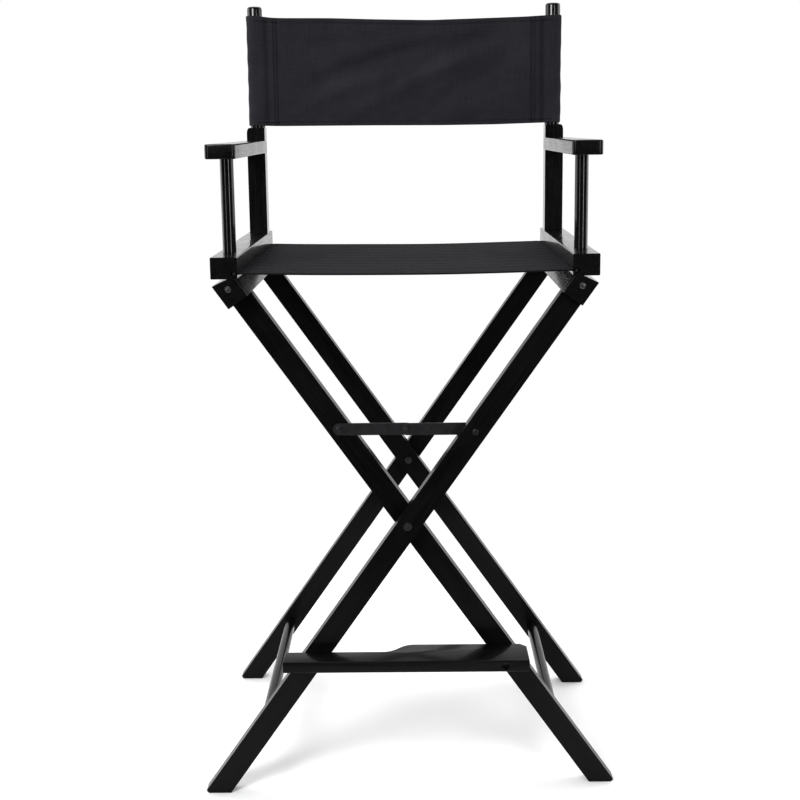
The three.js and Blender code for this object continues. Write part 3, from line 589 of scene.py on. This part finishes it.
def stitch_faces(first):
    """The faces of one stitch whose points start at a number."""
    turn = np.arange(STITCH_SIDES)
    faces = []
    for ring in range(len(STITCH_RINGS) - 1):
        a = first + ring * STITCH_SIDES + turn
        b = first + ring * STITCH_SIDES + (turn + 1) % STITCH_SIDES
        faces.append(np.stack([a, b, b + STITCH_SIDES, a + STITCH_SIDES], -1))
    last = first + (len(STITCH_RINGS) - 1) * STITCH_SIDES
    return faces + [(first + STITCH_CAP)[:, ::-1], last + STITCH_CAP]


def stitch_points(start, end, out):
    """The rings of one stitch between two points on the cloth."""
    turn = np.arange(STITCH_SIDES) * math.tau / STITCH_SIDES
    axis = end - start
    side = np.cross(axis, out)
    side /= np.linalg.norm(side)
    out = np.cross(side, axis)
    out /= np.linalg.norm(out)
    circle = np.outer(np.cos(turn), side) + np.outer(np.sin(turn), out)
    rings = []
    for share, wide in STITCH_RINGS:
        rise = STITCH_RADIUS * (STITCH_RISE[0] + STITCH_RISE[1] * math.sin(math.pi * share))
        rings.append(start + axis * share + out * rise + circle * STITCH_RADIUS * wide)
    return rings


def stitching(name, runs, body):
    """Rows of thread stitches. A run is a polyline on the cloth with its outward directions."""
    points, faces = [], []
    for line, outward in runs:
        along = lengths_along(line)
        for begins in np.arange(STITCH_START * STITCH_PITCH, along[-1] - STITCH_LENGTH, STITCH_PITCH):
            faces += stitch_faces(len(points) * STITCH_SIDES)
            start = at_length(begins, along, line)
            end = at_length(begins + STITCH_LENGTH, along, line)
            out = at_length(begins + STITCH_LENGTH / 2, along, outward)
            points += stitch_points(start, end, out)
    made = mesh_piece(name, np.concatenate(points), np.concatenate(faces), THREAD)
    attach(made, body)
    return made


# ---- Seat --------------------------------------------------------------------------------
def seat_height(x, y):
    """Middle of the seat cloth: a slight hollow, soft waves, and a groove along each sewn row."""
    reach = x / RAIL_INNER
    held = 1 - np.abs(reach) ** 2
    depth = (y - SEAT_FRONT) / (SEAT_BACK - SEAT_FRONT)
    at_edge, at_middle = SEAT_SAG_SHARES
    z = SEAT_Z - SEAT_SAG * held * (at_edge + at_middle * np.sin(math.pi * depth))
    z = z + SEAT_WAVE * ripple(x * 0.6, y, seed=5, wave=0.21) * held
    free = step(1 - np.abs(reach), 0.0, 0.03)
    for number, line in enumerate(SEAT_LINES):
        uneven = number * 1.9 + 2.2 * ripple(x, y * 0 + number, seed=7, wave=0.09)
        pucker = SEAT_PUCKER * np.sin(x * math.tau / SEAT_PUCKER_PITCH + uneven)
        z = z - free * bell(y, line, SEAT_GROOVE_WIDTH) * SEAT_GROOVE
        z = z + free * bell(y, line, SEAT_PUCKER_WIDTH) * pucker
    between = np.abs(np.sin(math.pi * (y - SEAT_LINES[0]) / SEAT_SPACING))
    return z + free * SEAT_CROWN * between


def seat_rows():
    """Rows of points from front to back, close together at the edges and at each sewn row."""
    edge = np.array([0.0, 0.25, 0.6, 1.1, 2.0, 4.0, 7.0, 9.5]) * MM
    near = np.array([-2.2, -1.3, -0.6, 0.0, 0.6, 1.3, 2.2]) * MM
    far = np.array([4.2, 8.0, 13.0, 18.0, 23.0, 28.0, 32.5]) * MM
    steps = np.concatenate([near, far])
    steps = steps[steps < SEAT_SPACING - 2.6 * MM]
    inner = np.add.outer(SEAT_LINES[:-1], steps).ravel()
    rows = [SEAT_FRONT + edge, inner, SEAT_LINES[-1] + near, SEAT_BACK - edge]
    return np.unique(np.round(np.concatenate(rows), 6))


def seat_panel():
    x, y = grid(np.linspace(-RAIL_INNER, RAIL_INNER, SEAT_COLUMNS), seat_rows())
    middle = seat_height(x, y)
    edge = np.minimum(y - SEAT_FRONT, SEAT_BACK - y)
    hem = 1 - step(edge, SEAT_HEM - 1.0 * MM, SEAT_HEM + 0.5 * MM)
    half = nose(edge, SEAT_CLOTH / 2 + SEAT_HEM_EXTRA * hem)
    top = np.stack([x, y, middle + half], -1)
    bottom = np.stack([x, y, middle - half - SEAT_HEM_DROP * hem], -1)
    flat = np.stack([x, y, 0 * x], -1)
    # Painted shade along each sewn row of the seat
    painted_shade = SEAT_SHADE * sum(bell(y, line, SEAT_SHADE_WIDTH) for line in SEAT_LINES)
    return slab("seat_panel", top, bottom, flat, painted_shade, SEAT_CANVAS)


def seat_stitch_runs():
    runs = []
    x = np.linspace(-RAIL_INNER + STITCH_INSET, RAIL_INNER - STITCH_INSET, 300)
    for line in SEAT_LINES:
        y = np.full_like(x, line)
        for face in (1, -1):
            z = seat_height(x, y) + face * (SEAT_CLOTH / 2 + 0.05 * MM)
            runs.append((np.stack([x, y, z], -1), np.tile([0.0, 0.0, face], (len(x), 1))))
    return runs


def rod_path():
    """The cloth's way into the rail's groove, round the rod and back out, as x and height."""
    opening = math.asin(ROD_NECK / ROD_WRAP)
    turn = np.linspace(math.pi - opening, -math.pi + opening, 33)
    neck = np.linspace(RAIL_INNER, ROD_X - ROD_WRAP * math.cos(opening), 5)[:-1]
    across = np.concatenate([neck, ROD_X + ROD_WRAP * np.cos(turn), neck[::-1]])
    height = np.concatenate([neck * 0 + ROD_NECK, ROD_WRAP * np.sin(turn), neck * 0 - ROD_NECK])
    return across, height


def rail_hem(name, side):
    """The seat's folded side, round its rod in the rail."""
    across, height = rod_path()
    path = np.stack([across * side, height + SEAT_Z], -1)
    way = directions_along(path)
    normal = np.stack([-way[:, 1], way[:, 0]], -1)
    length = lengths_along(path)
    number, y = grid(np.arange(len(path)), np.linspace(SEAT_FRONT, SEAT_BACK, 60))
    number = number.astype(int)
    wave = ROD_CLOTH_WAVE * ripple(length[number], y, seed=12, wave=0.03)
    faces = []
    for sign in (1, -1):
        moved = path[number] + normal[number] * (sign * ROD_CLOTH_HALF + wave)[..., None]
        faces.append(np.stack([moved[..., 0], y, moved[..., 1]], -1))
    flat = np.stack([length[number] + side * RAIL_INNER, y, 0 * y], -1)
    return slab(name, *faces, flat, 0 * y, SEAT_CANVAS)


seat = seat_panel()
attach(seat, "right_side")
for side_name, side_sign in (("right", 1), ("left", -1)):
    hem_piece = rail_hem(f"seat_hem_{side_name}", side_sign)
    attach(hem_piece, f"{side_name}_side")
seat_thread = stitching("seat_stitching", seat_stitch_runs(), "right_side")
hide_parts("seat_canvas")
for piece in (seat, seat_thread):
    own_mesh(piece)


# ---- Back --------------------------------------------------------------------------------
def edge_height(table, x):
    """Height of an edge of the back, with its corners softened."""
    xs, zs = zip(*table)
    return sum(np.interp(x + shift * MM, xs, zs) for shift in EDGE_BLUR) / len(EDGE_BLUR)


def back_relief(x, z):
    """How far the back cloth stands behind its flat plane: long soft diagonal wrinkles."""
    y = 0 * x
    for mid_x, mid_z, rise, long, wide, deep in WRINKLES:
        c = math.cos(math.radians(rise))
        s = math.sin(math.radians(rise))
        along = (x - mid_x) * c + (z - mid_z) * s
        across = (z - mid_z) * c - (x - mid_x) * s + WRINKLE_BOW * (along / long) ** 2
        y = y + deep * MM * bell(along, 0, long) * bell(across, 0, wide)
    y = y + BACK_WAVE * ripple(x * 0.5, z, seed=3, wave=0.11)
    y = y + BACK_FINE_WAVE * ripple(x, z, seed=9, wave=0.035)
    return y * (1 - step(np.abs(x), FLAT_FROM, FLAT_TO))


def back_hollow(x, z):
    """The fold of a sleeve's front between the post and the seam, and a short slanting crease."""
    near = np.abs(x)
    uneven = 1 + 0.35 * np.sin(z * 41 + np.sign(x)) + 0.2 * np.sin(z * 97)
    fold = FOLD_DEPTH * bell(near, FOLD_X, FOLD_WIDTH) * uneven
    foot_x, foot_z = SLANT_FOOT
    slant = bell(near - SLANT_RUN * (z - foot_z), foot_x, SLANT_WIDTH)
    return fold + SLANT_DEPTH * slant * bell(z, SLANT_MIDDLE, SLANT_LENGTH)


def back_rows(x_values):
    """Grid places from the bottom edge to the top edge, close together at the hems."""
    height = 174
    low = [0, 0.2, 0.5, 1.0, 2.0, 3.5, 5.0, 5.6, 6.0, 6.4, 7.0, 8.2, 10.5]
    high = [162.5, 164.8, 166.0, 166.6, 167.0, 167.4, 168.0, 170.0, 171.8, 172.8, 173.4, 173.75, height]
    share = np.concatenate([low, np.linspace(13.5, 159.5, 54), high]) / height
    x, v = grid(x_values, share)
    bottom = edge_height(BOTTOM_EDGE, x)
    top = edge_height(TOP_EDGE, x)
    return x, bottom + v * (top - bottom), bottom, top


def hem_groove(z, bottom, top):
    width = 0.9 * MM
    return bell(z, bottom + BACK_HEM_BOTTOM, width) + bell(z, top - BACK_HEM_TOP, width)


def hem_share(z, bottom, top):
    """1 on the turned hems and 0 on the single cloth."""
    low_line = bottom + BACK_HEM_BOTTOM
    high_line = top - BACK_HEM_TOP
    low = 1 - step(z, low_line, low_line + BACK_HEM_SLOPE)
    high = step(z, high_line - BACK_HEM_SLOPE, high_line)
    return np.maximum(low, high)


def seam_bells(x, width):
    return sum(bell(np.abs(x), line, width) for line in SEAM_LINES)


def back_cloth(x, z, bottom, top):
    """Middle of the back's front layer, half its thickness, and the depth of its sewn grooves."""
    y = BACK_Y + back_relief(x, z) + back_hollow(x, z)
    thick = BACK_CLOTH / 2 + BACK_HEM_EXTRA * hem_share(z, bottom, top)
    half = nose(np.minimum(z - bottom, top - z), thick)
    return y, half, BACK_GROOVE * (hem_groove(z, bottom, top) + seam_bells(x, 1.1 * MM))


def back_faces(x, z, bottom, top):
    """The front and the rear face of the panel, as y."""
    y, half, groove = back_cloth(x, z, bottom, top)
    return y - half + groove, y + half - groove * 0.5 + BACK_HEM_BEHIND * hem_share(z, bottom, top)


def back_painted_shade(x, z, bottom, top):
    """Painted shade where sewing and folds pull the back cloth in: darker colour along the seams, the
    hem grooves and the sleeve folds.
    """
    fold = bell(np.abs(x), FOLD_X, 3.5 * MM)
    return 0.75 * seam_bells(x, 1.0 * MM) + 0.7 * hem_groove(z, bottom, top) + 0.5 * fold


def back_panel():
    x, z, bottom, top = back_rows(np.linspace(-SEAM, SEAM, BACK_COLUMNS))
    faces = [np.stack([x, y, z], -1) for y in back_faces(x, z, bottom, top)]
    flat = np.stack([x, z, 0 * x], -1)
    return slab("back_panel", *faces, flat, back_painted_shade(x, z, bottom, top), BACK_CANVAS)


def sleeve_path():
    """A sleeve's way in plan, from the seam's tail, behind the post and round it, to the seam.

    Returns the points, the number of points in the tail, and the number before the front.
    """
    tail_y = BACK_Y + TAIL_GAP
    start = np.array([SEAM_LINES[1] + 0.5 * MM, tail_y + 0.3 * MM])
    gap = np.array([POST_X, POST_Y]) - start
    distance = np.linalg.norm(gap)
    leave = math.atan2(gap[1], gap[0]) + math.asin(WRAP / distance)
    reach = math.sqrt(distance**2 - WRAP**2)
    touch = start + reach * np.array([math.cos(leave), math.sin(leave)])
    first = math.atan2(touch[1] - POST_Y, touch[0] - POST_X)
    turn = np.linspace(first, -math.pi / 2, 40)

    tail = [(x, tail_y) for x in np.linspace(SEAM_TAIL, start[0] - 1.5 * MM, 7)]
    rear = [tuple(start + (touch - start) * share) for share in np.linspace(0.05, 0.95, 14)]
    arc = [(POST_X + WRAP * math.cos(a), POST_Y + WRAP * math.sin(a)) for a in turn]
    front_x = list(np.linspace(POST_X - 1.5 * MM, SEAM_LINES[1] + 1.6 * MM, 14))
    front_x += [SEAM_LINES[1] + past * MM for past in (0.8, 0, -0.8, -1.8, -2.8, -3.8, -4.6, -5.4)]
    front = [(x, BACK_Y) for x in front_x + [SEAM]]
    return np.array(tail + rear + arc + front), len(tail), len(tail) + len(rear) + len(arc)


def sleeve(name, side):
    path, tail_count, front_from = sleeve_path()
    length = lengths_along(path)
    way = directions_along(path)
    x, z, bottom, top = back_rows(path[:, 0] * side)
    number = np.broadcast_to(np.arange(len(path))[:, None], x.shape)
    normal = np.stack([way[:, 1], -way[:, 0]], -1)[number]
    y, half, groove = back_cloth(x, z, bottom, top)
    is_front = number >= front_from
    is_tail = number < tail_count
    is_rear = ~(is_front | is_tail)

    tail_shift = back_hollow(x, z) + TAIL_HEM_GAP * hem_share(z, bottom, top)
    shift = np.where(is_front, y - BACK_Y, np.where(is_tail, tail_shift, 0))
    rear_share = np.clip((number - tail_count) / (front_from - tail_count), 0, 1)
    uneven = ripple(length[number] * 1.5, z, seed=21 + side, wave=0.05)
    slack = np.where(is_rear, SLEEVE_SLACK * uneven * np.sin(math.pi * rear_share) ** 0.5, 0)
    dent = np.where(is_front, groove, 0)
    inside = path[number] + normal * (half + slack)[..., None]
    outside = path[number] + normal * (slack - half - dent)[..., None]
    faces = [
        np.stack([inside[..., 0] * side, inside[..., 1] + shift + dent, z], -1),
        np.stack([outside[..., 0] * side, outside[..., 1] + shift, z], -1),
    ]
    flat = np.stack([side * (SEAM + length[-1] - length[number]), z, 0 * z], -1)
    # Painted shade on the sleeve's front, none on its rear
    painted_shade = np.where(is_rear, 0, back_painted_shade(x, z, bottom, top))
    return slab(name, *faces, flat, painted_shade, BACK_CANVAS)


def back_run(x, z, face):
    """A sewn line on the panel's front face (-1) or rear face (1)."""
    front, rear = back_faces(x, z, edge_height(BOTTOM_EDGE, x), edge_height(TOP_EDGE, x))
    line = np.stack([x, front if face < 0 else rear, z], -1)
    return line, np.tile([0.0, float(face), 0.0], (len(x), 1))


def hem_runs():
    x = np.linspace(-SEAM + STITCH_INSET, SEAM - STITCH_INSET, 260)
    low = edge_height(BOTTOM_EDGE, x) + BACK_HEM_BOTTOM
    high = edge_height(TOP_EDGE, x) - BACK_HEM_TOP
    return [back_run(x, z, face) for z in (low, high) for face in (-1, 1)]


def seam_runs(side):
    count = 120
    runs = []
    for line in SEAM_LINES:
        x = np.full(count, line * side)
        low = edge_height(BOTTOM_EDGE, x)
        high = edge_height(TOP_EDGE, x)
        runs.append(back_run(x, low + (high - low) * np.linspace(0.012, 0.988, count), -1))
    return runs


panel = back_panel()
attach(panel, "right_side")
hem_thread = stitching("back_hem_stitching", hem_runs(), "right_side")
for piece in (panel, hem_thread):
    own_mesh(piece)
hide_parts("back_canvas")
for side_name, side_sign in (("right", 1), ("left", -1)):
    body = f"{side_name}_side"
    wrap = sleeve(f"back_sleeve_{side_name}", side_sign)
    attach(wrap, body)
    seam_thread = stitching(f"back_seam_stitching_{side_name}", seam_runs(side_sign), body)

# ---- Studio ------------------------------------------------------------------------------
FLOOR_SIZE = 14.0
FLOOR_FADE = (0.50, 1.25)  # the floor fades into the white beyond between these distances
WORLD_FRONT = 0.045  # brightness in front of the chair, and behind it
WORLD_BEHIND = 1.05
WORLD_TURN = (-0.30, 0.50)
# Each light: its place, what it points at, its size, its power.
LIGHTS = {
    "softbox_over": ((0, 0.5, 3.0), (0, 0.1, 0.4), (2.6, 2.0), 30),
    "softbox_left": ((-2.4, 0.5, 1.3), (0, 0, 0.7), (1.8, 2.0), 26),
    "softbox_right": ((2.4, 0.5, 1.3), (0, 0, 0.7), (1.8, 2.0), 26),
    "key": ((-1.3, -2.4, 2.4), (0, 0.1, 0.95), (1.2, 1.2), 88),
    "strip_left": ((-1.15, -1.9, 1.2), (0, 0, 0.8), (0.26, 1.6), 9),
    "strip_right": ((1.15, -1.9, 1.2), (0, 0, 0.8), (0.34, 1.6), 18),
}


def floor():
    half = FLOOR_SIZE / 2
    corners = [(-half, -half, 0), (half, -half, 0), (half, half, 0), (-half, half, 0)]
    mesh = bpy.data.meshes.new("studio_floor")
    mesh.from_pydata(corners, [], [(0, 1, 2, 3)])
    look = Look("pale_floor", Roughness=0.55)
    free = look.place()
    look.colour(look.mix(look.noise(free, scale=3.0), (0.86, 0.86, 0.86), (0.90, 0.90, 0.90)))
    look.bump((look.noise(free, scale=90), 0.05 * MM))
    radius = look.add("ShaderNodeVectorMath", operation="LENGTH")
    look.join(free, radius.inputs[0])
    seen = look.ramp(radius.outputs["Value"], *FLOOR_FADE, 1.0, 0.0)
    look.join(seen, look.shader.inputs["Alpha"])
    mesh.materials.append(look.material)
    made = bpy.data.objects.new("studio_floor", mesh)
    bpy.context.scene.collection.objects.link(made)


def area_light(name, at, target, size, power):
    light = bpy.data.lights.new(name, "AREA")
    light.shape = "RECTANGLE"
    light.size, light.size_y = size
    light.energy = power
    made = bpy.data.objects.new(name, light)
    made.location = at
    made.rotation_euler = (Vector(target) - Vector(at)).to_track_quat("-Z", "Y").to_euler()
    made.visible_camera = False
    bpy.context.scene.collection.objects.link(made)


def studio_world():
    """White to the camera. As light, bright behind the chair and dim in front of it."""
    world = bpy.data.worlds.new("studio")
    bpy.context.scene.world = world
    world.use_nodes = True
    tree = world.node_tree
    tree.nodes.clear()
    add = tree.nodes.new
    join = tree.links.new
    output = add("ShaderNodeOutputWorld")
    background = add("ShaderNodeBackground")
    background.inputs["Color"].default_value = (1, 1, 1, 1)
    join(background.outputs[0], output.inputs["Surface"])
    parts = add("ShaderNodeSeparateXYZ")
    join(add("ShaderNodeTexCoord").outputs["Generated"], parts.inputs[0])
    behind = add("ShaderNodeMapRange")
    behind.interpolation_type = "SMOOTHSTEP"
    join(parts.outputs[1], behind.inputs["Value"])
    behind.inputs["From Min"].default_value = WORLD_TURN[0]
    behind.inputs["From Max"].default_value = WORLD_TURN[1]
    behind.inputs["To Min"].default_value = WORLD_FRONT
    behind.inputs["To Max"].default_value = WORLD_BEHIND
    seen = add("ShaderNodeMix")
    join(add("ShaderNodeLightPath").outputs["Is Camera Ray"], seen.inputs["Factor"])
    join(behind.outputs[0], seen.inputs["A"])
    seen.inputs["B"].default_value = 1.0
    join(seen.outputs["Result"], background.inputs["Strength"])


def camera_turn():
    """The camera's axes as the columns of a matrix: right, up and backwards."""
    forward = Vector((
        math.sin(CAMERA_YAW) * math.cos(CAMERA_PITCH),
        math.cos(CAMERA_YAW) * math.cos(CAMERA_PITCH),
        -math.sin(CAMERA_PITCH),
    ))
    level = Vector((math.cos(CAMERA_YAW), -math.sin(CAMERA_YAW), 0))
    upward = level.cross(forward)
    right = level * math.cos(CAMERA_ROLL) - upward * math.sin(CAMERA_ROLL)
    upright = upward * math.cos(CAMERA_ROLL) + level * math.sin(CAMERA_ROLL)
    return Matrix((right, upright, -forward)).transposed().to_4x4()


def camera():
    lens = bpy.data.cameras.new("camera")
    lens.lens = CAMERA_LENS
    lens.sensor_width = CAMERA_SENSOR
    lens.shift_y = CAMERA_SHIFT
    made = bpy.data.objects.new("camera", lens)
    bpy.context.scene.collection.objects.link(made)
    made.matrix_world = camera_turn()
    made.matrix_world.translation = CAMERA_AT
    bpy.context.scene.camera = made


floor()
studio_world()
for light_name, light_facts in LIGHTS.items():
    area_light(light_name, *light_facts)
camera()
bpy.context.scene.view_settings.view_transform = "Standard"
bpy.context.scene.view_settings.gamma = PICTURE_GAMMA
